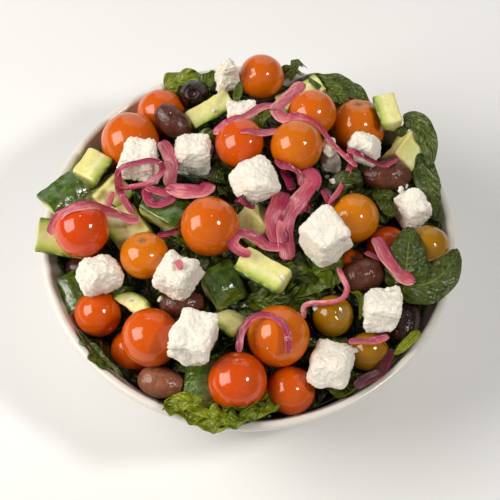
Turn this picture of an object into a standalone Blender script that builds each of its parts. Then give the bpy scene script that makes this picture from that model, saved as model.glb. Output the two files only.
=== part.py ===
# Greek salad in its stoneware bowl: cherry tomatoes, feta, olives and cucumber chunks lying on a heap of greens.
# Metres, +Z up, the bowl's foot stands on z = 0 and its axis is the Z axis.
import math

import bmesh
import bpy
from mathutils import Matrix, Vector, noise

MM = 0.001

# Driving dimensions of the bowl, in mm
RIM_RADIUS = 100.0
BOWL_HEIGHT = 68.0
WALL = 4.5
FOOT_RADIUS = 41.0
FOOT_WIDTH = 5.0
FOOT_HEIGHT = 4.0
WALL_LEAN_DEG = 21.0
FLARE_DEPTH = 63.6
FLARE_REACH = 30.9
FLARE_POWER = 6.5
FLOOR_THICKNESS = 5.0
INNER_DEPTHS = (18.0, 36.0, 46.0, 52.0, 56.5)
BOWL_SEGMENTS = 48

# Driving dimensions of the heap of greens, in mm
HEAP_MIDDLE_RISE = 15.0
HEAP_EDGE_RISE = -12.0
HEAP_GAP = 0.5
WALL_CLEARANCE = 0.6
HEAP_RINGS = 13
HEAP_SEGMENTS = 44

# Cherry tomatoes: east, north, rise of the middle over the rim, half width, half height (mm),
# then the stem end's lean from upright and its compass direction (degrees, 0 = east, 90 = north)
TOMATOES = (
    (6.5, 86.5, 9.5, 11.2, 11.7, 150, 20),
    (-43.5, 70.3, 1.0, 12.2, 12.2, 140, 200),
    (-58.0, 49.5, 8.0, 14.3, 14.3, 155, 90),
    (31.0, 60.0, 17.0, 12.0, 11.8, 130, 300),
    (54.0, 61.0, 3.0, 13.8, 13.8, 31, 90),
    (23.0, 37.5, 23.5, 12.6, 12.6, 160, 60),
    (-4.5, 40.0, 22.5, 12.4, 10.5, 145, 10),
    (-18.0, -7.0, 24.0, 14.2, 13.7, 120, 160),
    (-78.6, -6.8, 20.5, 13.0, 13.4, 140, 250),
    (-49.0, -18.5, 16.5, 11.5, 10.8, 18, 100),
    (50.5, 4.0, 12.5, 11.9, 12.7, 130, 80),
    (67.0, -4.0, -2.5, 10.5, 10.5, 150, 0),
    (86.0, -7.5, 5.0, 10.3, 10.3, 150, 120),
    (-71.5, -38.5, -4.5, 11.1, 11.3, 160, 310),
    (-45.5, -57.5, 8.5, 13.7, 14.0, 150, 220),
    (-54.5, -52.5, -16.0, 11.1, 11.3, 140, 30),
    (-5.0, -79.0, 6.5, 13.8, 13.4, 150, 330),
    (14.0, -58.5, 12.0, 14.4, 14.4, 125, 60),
    (19.5, -78.5, -4.5, 11.6, 11.4, 150, 240),
    (39.5, -45.0, 6.0, 9.8, 9.4, 34, 325),
    (56.0, -59.5, -2.0, 9.1, 9.8, 60, 20),
)

# Feta lumps: east, north, rise (mm), length, width, height (mm), turn, tip forward, roll (degrees)
FETA = (
    (-10.5, 82.5, 18.0, 12, 12, 18, 15, 0, 0),
    (-3.0, 58.8, 20.0, 15, 12, 11, 3, 0, 0),
    (-52.5, 29.0, 24.5, 18, 17, 17, -12, 0, 0),
    (-26.0, 35.0, 20.0, 18, 15, 17, 2, 0, 0),
    (2.5, 16.0, 27.5, 24, 21, 17, 25, 0, 0),
    (55.5, 38.5, 22.0, 17, 14, 14, -20, 0, 0),
    (40.0, 36.0, 13.5, 9, 11, 12, 10, 0, 0),
    (79.0, 12.0, 9.5, 17, 17, 17, 35, 0, 0),
    (36.5, -13.0, 25.5, 21, 21, 20, 38, 0, 0),
    (-69.5, -27.5, 14.5, 21, 19, 18, 20, 0, 0),
    (-32.5, -32.5, 25.0, 19, 21, 17, -28, 0, 0),
    (-25.5, -64.0, 22.5, 19, 20, 19, -18, 0, 0),
    (62.5, -45.0, 13.5, 17, 20, 16, -4, -28, 0),
    (38.0, -71.5, 9.0, 19, 25, 16, -8, -30, 0),
)

# Olives: east, north, rise (mm), length, width (mm), turn and nose-down pitch of the pit hole's end (degrees)
OLIVES = (
    (-27.0, 77.0, 8.0, 17, 14.5, 260, -60),
    (-37.0, 56.5, 15.5, 22, 14, 142, -25),
    (66.5, 29.0, 10.0, 25, 15, 182, 0),
    (54.0, -24.5, 8.0, 22, 16, 200, -8),
    (-40.5, -75.0, -3.5, 23, 15, -15, 0),
    (74.2, -45.0, -1.0, 22, 14, 70, 0),
    (-79.5, -11.0, -10.0, 18, 12, 0, 0),
    (-31.0, -38.5, 6.0, 22, 13, 5, 0),
)

# Cucumber chunks: east, north, rise (mm), length, radius (mm), half of the wedge's angle, how far out its
# inner edge lies (0 = at the core, 1 = a flat cut), turn, pitch and roll (degrees, 0 = skin up, 180 = skin down)
CUCUMBER = (
    (-77.0, 35.0, 5.5, 16, 16, 45, 0.2, 60, 0, 140),
    (-88.5, 17.5, 12.0, 22, 13, 42, 0.8, 46, 5, 10),
    (-88.0, -3.0, 3.0, 27, 14, 46, 1.0, -5, 8, 178),
    (-67.5, 23.5, 2.0, 18, 14, 45, 0.0, 50, 0, 172),
    (-56.5, 3.5, 3.5, 20, 17, 45, 0.0, -58, 0, 155),
    (-38.5, 7.0, 14.0, 22, 19, 38, 0.0, -33, 0, -25),
    (-18.5, 64.5, 11.5, 24, 13, 27, 0.2, 34, 0, 125),
    (26.5, 77.5, 4.0, 24, 13, 36, 0.0, 33, 0, -140),
    (69.0, 62.5, 14.5, 17, 13, 40, 0.2, -76, 0, 135),
    (77.0, 44.0, 6.5, 17, 16, 42, 0.0, 57, 0, 168),
    (4.0, 1.5, 10.5, 17, 15, 45, 0.0, -50, 0, 182),
    (7.2, -27.9, 18.3, 24, 16, 45, 0.2, -33, 0, 140),
    (-12.0, -30.0, 9.0, 17, 17, 40, 0.3, 30, 0, 22),
    (-7.5, -48.0, 3.0, 15, 12, 60, 0.6, -50, -20, 150),
    (-52.5, -35.2, 0.8, 10, 11, 75, 0.5, -120, -62, 0),
)


def clear_scene():
    for old in list(bpy.data.objects):
        bpy.data.objects.remove(old, do_unlink=True)


def make_material(name, colour, roughness):
    material = bpy.data.materials.new(name)
    material.use_nodes = True
    shader = material.node_tree.nodes["Principled BSDF"]
    shader.inputs["Base Color"].default_value = (*colour, 1.0)
    shader.inputs["Roughness"].default_value = roughness
    shader.inputs["Metallic"].default_value = 0.0
    return material


def add_object(name, bm, material, place=None, sharp_deg=40.0):
    """Turn a bmesh, drawn in mm about its own middle, into a named object, and set it in its place."""
    bmesh.ops.scale(bm, vec=(MM, MM, MM), verts=bm.verts)
    mesh = bpy.data.meshes.new(name)
    bm.to_mesh(mesh)
    bm.free()
    mesh.materials.append(material)
    mesh.shade_smooth()
    mesh.set_sharp_from_angle(angle=math.radians(sharp_deg))
    item = bpy.data.objects.new(name, mesh)
    bpy.context.collection.objects.link(item)
    if place is not None:
        item.matrix_world = place
    return item


def placing(east, north, rise, turn=0.0, pitch=0.0, roll=0.0):
    """World matrix of a piece whose middle lies east and north of the bowl's axis and rise over its rim."""
    turned = Matrix.Rotation(math.radians(turn), 4, "Z")
    pitched = Matrix.Rotation(math.radians(pitch), 4, "Y")
    rolled = Matrix.Rotation(math.radians(roll), 4, "X")
    middle = Vector((east, north, BOWL_HEIGHT + rise)) * MM
    return Matrix.Translation(middle) @ turned @ pitched @ rolled


def spin_profile(profile, segments):
    """Turn an open profile, whose ends lie on the axis, into a closed solid."""
    bm = bmesh.new()
    verts = [bm.verts.new((radius, 0.0, height)) for radius, height in profile]
    edges = [bm.edges.new(pair) for pair in zip(verts, verts[1:])]
    bmesh.ops.spin(
        bm, geom=verts + edges, cent=(0, 0, 0), axis=(0, 0, 1),
        angle=math.tau, steps=segments, use_merge=True,
    )
    bmesh.ops.remove_doubles(bm, verts=bm.verts, dist=0.01)
    bmesh.ops.recalc_face_normals(bm, faces=bm.faces)
    return bm


def wall_inset(depth):
    """How far the bowl's outer wall stands in from the rim, at a depth below it."""
    lean = depth * math.tan(math.radians(WALL_LEAN_DEG))
    return lean + FLARE_REACH * (depth / FLARE_DEPTH) ** FLARE_POWER


def inner_radius(depth):
    """The bowl's inside radius at a depth below the rim, down to its floor."""
    floor_depth = BOWL_HEIGHT - FOOT_HEIGHT - FLOOR_THICKNESS
    share = min(depth / floor_depth, 1.0)
    return RIM_RADIUS - WALL - wall_inset(share * (FLARE_DEPTH - 2.5)) - 0.8 * share


def bowl_profile():
    """Bowl section from the middle of the underside, out, over the lip and down to the middle of the floor."""
    lip = WALL / 2
    floor_depth = BOWL_HEIGHT - FOOT_HEIGHT - FLOOR_THICKNESS
    outside = [
        (0.0, FOOT_HEIGHT - 1.5),
        (FOOT_RADIUS - FOOT_WIDTH - 1.0, FOOT_HEIGHT - 1.5),
        (FOOT_RADIUS - FOOT_WIDTH, 0.0),
        (FOOT_RADIUS, 0.0),
        (FOOT_RADIUS + 1.0, FOOT_HEIGHT - 0.5),
    ]
    for depth in (62.5, 59.5, 55.0, 48.0, 36.0, 18.0):
        outside.append((RIM_RADIUS - wall_inset(depth), BOWL_HEIGHT - depth))
    for step in range(4):
        angle = math.pi * step / 4
        outside.append((RIM_RADIUS - lip + lip * math.cos(angle), BOWL_HEIGHT - lip + lip * math.sin(angle)))
    inside = []
    for depth in (lip, *INNER_DEPTHS, floor_depth):
        inside.append((inner_radius(depth), BOWL_HEIGHT - depth))
    inside.append((0.0, BOWL_HEIGHT - floor_depth - 0.3))
    return outside + inside


def make_bowl(material):
    bm = spin_profile(bowl_profile(), BOWL_SEGMENTS)
    return add_object("bowl", bm, material)


def tomato_mesh(half_width, half_height):
    """A slightly squat ball with the shallow dimple of the stem end on top."""
    bm = bmesh.new()
    bmesh.ops.create_uvsphere(bm, u_segments=12, v_segments=7, radius=1.0)
    for vert in bm.verts:
        upness = vert.co.z
        dimple = 0.07 * math.exp(-((1.0 - upness) / 0.05) ** 2)
        vert.co.x *= half_width
        vert.co.y *= half_width
        vert.co.z = (upness - dimple) * half_height
    return bm


def feta_mesh(length, width, height, seed):
    """A crumbly block broken by hand: rounded edges, uneven faces."""
    bm = bmesh.new()
    bmesh.ops.create_cube(bm, size=2.0)
    bmesh.ops.subdivide_edges(bm, edges=bm.edges, cuts=2, use_grid_fill=True)
    shift = Vector((seed * 3.1, seed * 1.7, seed * 0.9))
    for vert in bm.verts:
        corner = vert.co.copy()
        outer = sorted((abs(corner.x), abs(corner.y), abs(corner.z)), reverse=True)
        rounding = 1.0 - 0.10 * (outer[1] > 0.9) - 0.09 * (outer[2] > 0.9)
        uneven = 1.0 + 0.14 * noise.noise(corner * 0.9 + shift)
        vert.co.x = corner.x * rounding * uneven * length / 2
        vert.co.y = corner.y * rounding * uneven * width / 2
        vert.co.z = corner.z * rounding * uneven * height / 2
    return bm


def olive_mesh(length, width):
    """An egg lying along X, with the small dimple that the pit left at its +X end."""
    bm = bmesh.new()
    bmesh.ops.create_uvsphere(bm, u_segments=10, v_segments=7, radius=1.0)
    for vert in bm.verts:
        along = vert.co.z
        dimple = 0.10 * math.exp(-((1.0 - along) / 0.05) ** 2)
        fatness = 1.0 - 0.10 * along
        side = vert.co.x * fatness * width / 2
        up = vert.co.y * fatness * width / 2
        vert.co = Vector(((along - dimple) * length / 2, side, up))
    return bm


def cucumber_mesh(length, radius, half_deg, inner_share):
    """A wedge of cucumber along X: the skin's arc on top, two cut faces that meet at its inner edge."""
    half_angle = math.radians(half_deg)
    inner_edge = inner_share * radius * math.cos(half_angle)
    drop = (inner_edge + 2.0 * radius * math.sin(half_angle) / half_angle) / 3.0
    arc_steps = 6
    bm = bmesh.new()
    verts = [bm.verts.new((-length / 2, 0.0, inner_edge - drop))]
    for step in range(arc_steps + 1):
        angle = half_angle * (2.0 * step / arc_steps - 1.0)
        verts.append(bm.verts.new((-length / 2, radius * math.sin(angle), radius * math.cos(angle) - drop)))
    end = bm.faces.new(verts)
    pushed = bmesh.ops.extrude_face_region(bm, geom=[end], use_keep_orig=True)
    moved = [item for item in pushed["geom"] if isinstance(item, bmesh.types.BMVert)]
    bmesh.ops.translate(bm, vec=(length, 0, 0), verts=moved)
    bmesh.ops.recalc_face_normals(bm, faces=bm.faces)
    return bm


def low_points(item):
    """Corners, edge middles and face middles of a piece, in mm: where it can press on the heap."""
    place = item.matrix_world
    mesh = item.data
    points = [place @ vert.co / MM for vert in mesh.vertices]
    points += [place @ face.center / MM for face in mesh.polygons]
    for edge in mesh.edges:
        start, end = (mesh.vertices[index].co for index in edge.vertices)
        points.append(place @ ((start + end) / 2) / MM)
    return points


def free_height(east, north, reach, points):
    """Height of the heap at a spot: its dome, lowered under whatever lies on it there or close by."""
    distance = math.hypot(east, north)
    dome = HEAP_MIDDLE_RISE + (HEAP_EDGE_RISE - HEAP_MIDDLE_RISE) * (distance / reach) ** 2
    ruffle = 2.0 * noise.noise(Vector((east * 0.09, north * 0.09, 4.0)))
    height = BOWL_HEIGHT + dome + ruffle * (1.0 - (distance / reach) ** 4)
    ring_step = reach / HEAP_RINGS
    segment_step = math.tau * max(distance, ring_step) / HEAP_SEGMENTS
    nearby = math.hypot(ring_step, max(segment_step, ring_step / 2))
    for point in points:
        if math.hypot(point.x - east, point.y - north) < nearby:
            height = min(height, point.z - HEAP_GAP)
    return height


def make_heap(material, pieces):
    """The greens as one solid: it fills the bowl, domes up, and gives way under each piece that lies on it."""
    points = [point for piece in pieces for point in low_points(piece)]
    reach = inner_radius(-HEAP_EDGE_RISE) - HEAP_GAP - WALL_CLEARANCE
    bm = bmesh.new()
    bmesh.ops.create_circle(bm, cap_ends=False, segments=HEAP_SEGMENTS, radius=reach)
    outer_ring = list(bm.edges)
    ring = outer_ring
    for step in range(HEAP_RINGS - 1, 0, -1):
        grown = bmesh.ops.extrude_edge_only(bm, edges=ring)["geom"]
        verts = [item for item in grown if isinstance(item, bmesh.types.BMVert)]
        kept = set(verts)
        ring = [item for item in grown if isinstance(item, bmesh.types.BMEdge) and set(item.verts) <= kept]
        shrink = step / (step + 1)
        bmesh.ops.scale(bm, vec=(shrink, shrink, 1), verts=verts)
    bmesh.ops.contextual_create(bm, geom=ring)
    middle = max(bm.faces, key=lambda face: len(face.verts))
    bmesh.ops.poke(bm, faces=[middle])
    for vert in bm.verts:
        height = free_height(vert.co.x, vert.co.y, reach, points)
        room = inner_radius(max(BOWL_HEIGHT - height, 0.0)) - HEAP_GAP - WALL_CLEARANCE
        inward = min(1.0, room / max(vert.co.length, 1.0))
        vert.co = Vector((vert.co.x * inward, vert.co.y * inward, height))
    skirt = outer_ring
    floor_depth = BOWL_HEIGHT - FOOT_HEIGHT - FLOOR_THICKNESS
    for depth in (*INNER_DEPTHS[1:], floor_depth):
        radius = inner_radius(depth) - HEAP_GAP - WALL_CLEARANCE
        height = BOWL_HEIGHT - min(depth, floor_depth - HEAP_GAP)
        grown = bmesh.ops.extrude_edge_only(bm, edges=skirt)["geom"]
        verts = [item for item in grown if isinstance(item, bmesh.types.BMVert)]
        kept = set(verts)
        skirt = [item for item in grown if isinstance(item, bmesh.types.BMEdge) and set(item.verts) <= kept]
        for vert in verts:
            out = Vector((vert.co.x, vert.co.y, 0.0)).normalized() * radius
            vert.co = Vector((out.x, out.y, height))
    bmesh.ops.contextual_create(bm, geom=skirt)
    bmesh.ops.recalc_face_normals(bm, faces=bm.faces)
    return add_object("salad_heap", bm, material)


def make_tomatoes(material):
    items = []
    for number, (east, north, rise, half_width, half_height, lean, compass) in enumerate(TOMATOES, 1):
        bm = tomato_mesh(half_width, half_height)
        place = placing(east, north, rise, turn=compass, pitch=lean)
        items.append(add_object(f"tomato_{number:02d}", bm, material, place))
    return items


def make_feta(material):
    items = []
    for number, (east, north, rise, length, width, height, turn, tip, roll) in enumerate(FETA, 1):
        bm = feta_mesh(length, width, height, number)
        place = placing(east, north, rise, turn=turn, pitch=roll, roll=tip)
        items.append(add_object(f"feta_{number:02d}", bm, material, place, sharp_deg=60.0))
    return items


def make_olives(material):
    items = []
    for number, (east, north, rise, length, width, turn, pitch) in enumerate(OLIVES, 1):
        bm = olive_mesh(length, width)
        place = placing(east, north, rise, turn=turn, pitch=pitch)
        items.append(add_object(f"olive_{number:02d}", bm, material, place))
    return items


def make_cucumber(material):
    items = []
    for number, row in enumerate(CUCUMBER, 1):
        east, north, rise, length, radius, half_deg, inner_share, turn, pitch, roll = row
        bm = cucumber_mesh(length, radius, half_deg, inner_share)
        place = placing(east, north, rise, turn=turn, pitch=pitch, roll=roll)
        items.append(add_object(f"cucumber_{number:02d}", bm, material, place))
    return items


def main():
    clear_scene()
    stoneware = make_material("cream_stoneware", (0.80, 0.76, 0.69), 0.35)
    greens = make_material("salad_greens", (0.05, 0.09, 0.01), 0.45)
    tomato_skin = make_material("tomato_skin", (0.62, 0.10, 0.01), 0.12)
    feta_cheese = make_material("feta_cheese", (0.90, 0.86, 0.76), 0.75)
    olive_flesh = make_material("olive_flesh", (0.10, 0.03, 0.02), 0.25)
    cucumber_flesh = make_material("cucumber_flesh", (0.55, 0.58, 0.20), 0.35)
    make_bowl(stoneware)
    pieces = make_tomatoes(tomato_skin)
    pieces += make_feta(feta_cheese)
    pieces += make_olives(olive_flesh)
    pieces += make_cucumber(cucumber_flesh)
    bpy.context.view_layer.update()
    make_heap(greens, pieces)


main()
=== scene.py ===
# Greek salad heaped in its round stoneware bowl: tomatoes, feta, olives, cucumber, leaves and pickled onion.
import random
from math import atan2, copysign, cos, exp, hypot, pi, radians, sin, sqrt, tan, tau

import bmesh
import bpy
from bmesh import ops
from bmesh.types import BMEdge, BMVert
from mathutils import Matrix, Vector, noise
from mathutils.bvhtree import BVHTree


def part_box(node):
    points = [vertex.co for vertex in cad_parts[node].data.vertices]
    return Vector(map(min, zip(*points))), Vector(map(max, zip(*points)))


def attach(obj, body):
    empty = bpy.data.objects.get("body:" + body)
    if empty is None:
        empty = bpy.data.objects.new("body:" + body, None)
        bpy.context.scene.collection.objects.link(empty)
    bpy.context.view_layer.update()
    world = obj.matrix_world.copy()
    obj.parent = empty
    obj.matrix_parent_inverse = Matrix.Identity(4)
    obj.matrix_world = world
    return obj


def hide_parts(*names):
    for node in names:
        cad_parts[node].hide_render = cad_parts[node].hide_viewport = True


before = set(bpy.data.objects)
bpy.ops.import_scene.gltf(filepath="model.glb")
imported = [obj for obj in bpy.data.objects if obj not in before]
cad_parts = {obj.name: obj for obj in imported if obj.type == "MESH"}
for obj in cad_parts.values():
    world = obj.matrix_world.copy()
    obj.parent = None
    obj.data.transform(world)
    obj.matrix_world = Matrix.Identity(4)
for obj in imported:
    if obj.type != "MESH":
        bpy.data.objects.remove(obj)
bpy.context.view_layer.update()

# Studio: the bowl stands on a plain pale tabletop and is seen from a little over two thirds of the way up.
# A big square softbox on the left makes the square glints, a small lamp on the right the pinpoint ones.
MM = 0.001
RIM_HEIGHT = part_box("bowl")[1].z
VIEW_ELEVATION = radians(61.4)
VIEW_DISTANCE = 1.0
up_of_view = Vector((0, sin(VIEW_ELEVATION), cos(VIEW_ELEVATION)))
towards_viewer = Vector((0, -cos(VIEW_ELEVATION), sin(VIEW_ELEVATION)))
aim = Vector((0.72 * MM, 0, RIM_HEIGHT)) - up_of_view * 5.73 * MM
lens = bpy.data.cameras.new("studio_camera")
lens.lens = 149.5
lens.sensor_width = 36.0
camera = bpy.data.objects.new("studio_camera", lens)
camera.location = aim + towards_viewer * VIEW_DISTANCE
camera.rotation_euler = (pi / 2 - VIEW_ELEVATION, 0, 0)
bpy.context.collection.objects.link(camera)
bpy.context.scene.camera = camera
bpy.context.scene.view_settings.view_transform = "Standard"


def add_lamp(name, direction, distance, size, power, colour=(1, 1, 1)):
    """A square softbox that faces the bowl from a direction."""
    light = bpy.data.lights.new(name, "AREA")
    light.shape = "SQUARE"
    light.size = size
    light.energy = power
    light.color = colour
    lamp = bpy.data.objects.new(name, light)
    away = Vector(direction).normalized()
    lamp.location = aim + away * distance
    lamp.rotation_euler = away.to_track_quat("Z", "Y").to_euler()
    bpy.context.collection.objects.link(lamp)


add_lamp("softbox_left", (-0.77, -0.075, 0.62), 1.1, 0.80, 12.5, (1.0, 0.96, 0.90))
add_lamp("small_lamp_right", (0.57, -0.22, 0.80), 1.3, 0.19, 6.5, (1.0, 0.96, 0.90))
add_lamp("pale_card_behind", (0.15, 1.0, 0.42), 1.5, 1.5, 5.0)
add_lamp("front_fill", (0.25, -0.9, 0.55), 1.5, 1.6, 1.3)
world = bpy.data.worlds.new("studio_fill")
world.use_nodes = True
world.node_tree.nodes["Background"].inputs["Color"].default_value = (1.0, 1.0, 1.0, 1.0)
world.node_tree.nodes["Background"].inputs["Strength"].default_value = 0.15
bpy.context.scene.world = world


class Quantity:
    """A value that changes over a surface. A sum written on it adds its Math node."""

    def __init__(self, finish, socket):
        self.finish = finish
        self.socket = socket

    def maths(self, operation, first, second):
        return self.finish.node("Math", {"operation": operation}, {0: first, 1: second})

    def __add__(self, other):
        return self.maths("ADD", self, other)

    def __sub__(self, other):
        return self.maths("SUBTRACT", self, other)

    def __rsub__(self, other):
        return self.maths("SUBTRACT", other, self)

    def __mul__(self, other):
        return self.maths("MULTIPLY", self, other)

    __radd__ = __add__
    __rmul__ = __mul__


class Finish:
    """A material with one Principled shader: fixed sockets are set here, and fed ones come from its nodes."""

    def __init__(self, name, **fixed):
        self.material = bpy.data.materials.new(name)
        self.material.use_nodes = True
        self.tree = self.material.node_tree
        self.shader = self.tree.nodes["Principled BSDF"]
        for socket, value in fixed.items():
            self.shader.inputs[socket.replace("_", " ")].default_value = value

    def feed(self, socket, value):
        if isinstance(value, Quantity):
            self.tree.links.new(value.socket, socket)
        else:
            socket.default_value = value

    def node(self, kind, settings=None, inputs=None, output=0):
        made = self.tree.nodes.new("ShaderNode" + kind)
        for name, value in (settings or {}).items():
            if name == "stops":
                while len(made.color_ramp.elements) < len(value):
                    made.color_ramp.elements.new(1.0)
                for element, (position, colour) in zip(made.color_ramp.elements, value):
                    element.position = position
                    element.color = (*colour, 1.0)
            else:
                setattr(made, name, value)
        for key, value in (inputs or {}).items():
            self.feed(made.inputs[key], value)
        return Quantity(self, made.outputs[output])

    def place(self):
        return self.node("TexCoord", output="Object")

    def held(self, name, part):
        """One of the three numbers that the mesh holds at each point under a name."""
        values = self.node("Attribute", {"attribute_name": name}, output="Vector")
        return self.node("SeparateXYZ", inputs={0: values}, output=part)

    def grain(self, size, detail=3.0, roughness=0.55, where=None):
        """Noise from 0 to 1 whose patches are about a size in millimetres."""
        values = {"Vector": where or self.place(), "Scale": 1000.0 / size, "Detail": detail}
        return self.node("TexNoise", inputs=values | {"Roughness": roughness})

    def step(self, value, low, high):
        """0 below low, 1 over high, and a soft change between."""
        soft = {"interpolation_type": "SMOOTHSTEP"}
        return self.node("MapRange", soft, {0: value, 1: low, 2: high})

    def ramp(self, value, *stops):
        return self.node("ValToRGB", {"stops": stops}, {0: value})

    def blend(self, share, first, second):
        colours = [(*colour, 1.0) if isinstance(colour, tuple) else colour for colour in (first, second)]
        return self.node("Mix", {"data_type": "RGBA"}, {0: share, 6: colours[0], 7: colours[1]}, 2)

    def relief(self, height, depth):
        """A bump whose highest points stand out by a depth in millimetres."""
        bump = self.node("Bump", inputs={"Height": height, "Distance": depth * MM}, output="Normal")
        self.paint("Normal", bump)

    def paint(self, socket, value):
        self.feed(self.shader.inputs[socket], value)


def layer_of(bm, name):
    """The three numbers that a mesh holds at each point under a name."""
    layers = bm.verts.layers.float_vector
    return layers.get(name) or layers.new(name)


def add_piece(name, bm, finish, stands_for=(), slot=None):
    """Turn a bmesh, drawn in metres where it lies, into a smooth piece that rides on the bowl."""
    mesh = bpy.data.meshes.new(name)
    bm.to_mesh(mesh)
    bm.free()
    mesh.materials.append(finish.material)
    mesh.shade_smooth()
    piece = bpy.data.objects.new(name, mesh)
    bpy.context.collection.objects.link(piece)
    if slot:
        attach(piece, "root")
        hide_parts(*stands_for)
    return piece


TABLETOP_WIDTH = 6.0
pale_paint = Finish("pale_tabletop", Roughness=0.7)
patches = pale_paint.grain(90.0, 2.0)
pale_paint.paint("Base Color", pale_paint.blend(patches, (0.86, 0.86, 0.86), (0.88, 0.88, 0.88)))
tabletop = bmesh.new()
ops.create_grid(tabletop, x_segments=2, y_segments=2, size=TABLETOP_WIDTH / 2)
add_piece("tabletop", tabletop, pale_paint)

# Bowl: a stoneware bowl thrown on a wheel, glazed cream all over but for the foot ring it stands on.
# Its straight wall leans out, tucks in sharply to the foot, and ends in a lip as thick as the wall.
RIM_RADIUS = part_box("bowl")[1].y / MM
BOWL_HEIGHT = RIM_HEIGHT / MM
WALL = 4.5
FOOT_RADIUS = 41.0
FOOT_WIDTH = 5.0
FOOT_HEIGHT = 4.0
FLOOR_DEPTH = BOWL_HEIGHT - FOOT_HEIGHT - 5.0
WALL_LEAN_DEG = 21.0
FLARE_DEPTH = 63.6
FLARE_REACH = 30.9
FLARE_POWER = 6.5
WALL_FOOT_DEPTH = 62.8
WALL_STEPS = 24
LIP_STEPS = 12
BOWL_SEGMENTS = 160


def wall_inset(depth):
    """How far the bowl's outer wall stands in from the rim, at a depth below it."""
    lean = depth * tan(radians(WALL_LEAN_DEG))
    return lean + FLARE_REACH * (depth / FLARE_DEPTH) ** FLARE_POWER


def inner_radius(depth):
    """The bowl's inside radius at a depth below the rim, down to its floor."""
    share = min(max(depth, 0.0) / FLOOR_DEPTH, 1.0)
    return RIM_RADIUS - WALL - wall_inset(share * (FLARE_DEPTH - 2.5)) - 0.8 * share


outline = [
    (0.0, FOOT_HEIGHT - 1.5),
    (FOOT_RADIUS - FOOT_WIDTH - 1.5, FOOT_HEIGHT - 1.5),
    (FOOT_RADIUS - FOOT_WIDTH - 0.4, 0.5),
    (FOOT_RADIUS - FOOT_WIDTH, 0.0),
    (FOOT_RADIUS - 0.4, 0.0),
    (FOOT_RADIUS, 0.5),
    (FOOT_RADIUS + 0.8, FOOT_HEIGHT - 0.8),
]
for step in range(WALL_STEPS):
    depth = WALL_FOOT_DEPTH - (WALL_FOOT_DEPTH - WALL / 2) * (step / WALL_STEPS) ** 1.4
    outline.append((RIM_RADIUS - wall_inset(depth), BOWL_HEIGHT - depth))
for step in range(LIP_STEPS + 1):
    angle = pi * step / LIP_STEPS
    across = RIM_RADIUS - WALL / 2 + WALL / 2 * cos(angle)
    outline.append((across, BOWL_HEIGHT - WALL / 2 + WALL / 2 * sin(angle)))
for step in range(1, WALL_STEPS + 1):
    depth = WALL / 2 + (FLOOR_DEPTH - WALL / 2) * (step / WALL_STEPS) ** 0.8
    outline.append((inner_radius(depth), BOWL_HEIGHT - depth))
outline.append((0.0, BOWL_HEIGHT - FLOOR_DEPTH - 0.3))
bowl_shape = bmesh.new()
corners = [bowl_shape.verts.new((radius * MM, 0.0, height * MM)) for radius, height in outline]
lines = [bowl_shape.edges.new(pair) for pair in zip(corners, corners[1:])]
ops.spin(
    bowl_shape, geom=corners + lines, cent=(0, 0, 0), axis=(0, 0, 1),
    angle=tau, steps=BOWL_SEGMENTS, use_merge=True,
)
ops.remove_doubles(bowl_shape, verts=bowl_shape.verts, dist=0.01 * MM)
ops.recalc_face_normals(bowl_shape, faces=bowl_shape.faces)

glaze = Finish("cream_glaze", Coat_Weight=0.35, Coat_Roughness=0.12)
cloud = glaze.grain(22.0, 3.0)
cream = glaze.blend(cloud, (0.74, 0.70, 0.63), (0.80, 0.77, 0.70))
speck = glaze.step(glaze.grain(1.3, 1.0), 0.74, 0.80) * 0.35
cream = glaze.blend(speck, cream, (0.48, 0.40, 0.30))
height_up = glaze.node("SeparateXYZ", inputs={0: glaze.place()}, output=2)
bare_foot = 1.0 - glaze.step(height_up, 0.4 * MM, 1.2 * MM)
glaze.paint("Base Color", glaze.blend(bare_foot, cream, (0.55, 0.46, 0.36)))
glaze.paint("Roughness", 0.26 + 0.10 * cloud + 0.4 * bare_foot)
glaze.relief(glaze.grain(30.0, 2.0) + 0.06 * glaze.grain(1.2, 2.0), 0.25)
add_piece("glazed_bowl", bowl_shape, glaze, ["bowl"], "cream_stoneware")

# Core: the imported greens underneath everything, torn leaves pressed into one mass that fills the bowl,
# coloured near black as painted shade for the deep gaps between the chunks.
# It lies a little under the top of the greens, and gives way under each chunk.
CORE_SINK = 1.6
CORE_EDGE_DEPTH = 14.0
CORE_RINGS = 44
CORE_SEGMENTS = 150
WALL_GAP = 1.3
SKY = 0.2


def tree_of(names):
    """The surfaces of some of the fixed solids, to lay things on."""
    places = []
    faces = []
    for name in names:
        first = len(places)
        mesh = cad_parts[name].data
        places += [vert.co.copy() for vert in mesh.vertices]
        faces += [[first + index for index in face.vertices] for face in mesh.polygons]
    return BVHTree.FromPolygons(places, faces)


greens_top = tree_of(["salad_heap"])
chunk_names = sorted(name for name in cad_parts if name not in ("salad_heap", "bowl"))
chunks = tree_of(chunk_names)


def top_of(tree, east, north, otherwise):
    """Height in mm of the highest surface at a spot."""
    hit = tree.ray_cast(Vector((east * MM, north * MM, SKY)), Vector((0, 0, -1)))[0]
    return hit.z / MM if hit else otherwise


def wobble(x, y, z):
    return noise.noise(Vector((x, y, z)))


def heap_height(east, north):
    return top_of(greens_top, east, north, BOWL_HEIGHT - CORE_EDGE_DEPTH)


def grow_ring(bm, ring):
    """Extrude a ring of edges where it lies, and return the new points and the new ring."""
    grown = ops.extrude_edge_only(bm, edges=ring)["geom"]
    verts = [item for item in grown if isinstance(item, BMVert)]
    edges = [item for item in grown if isinstance(item, BMEdge)]
    kept = set(verts)
    return verts, [edge for edge in edges if set(edge.verts) <= kept]


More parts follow.
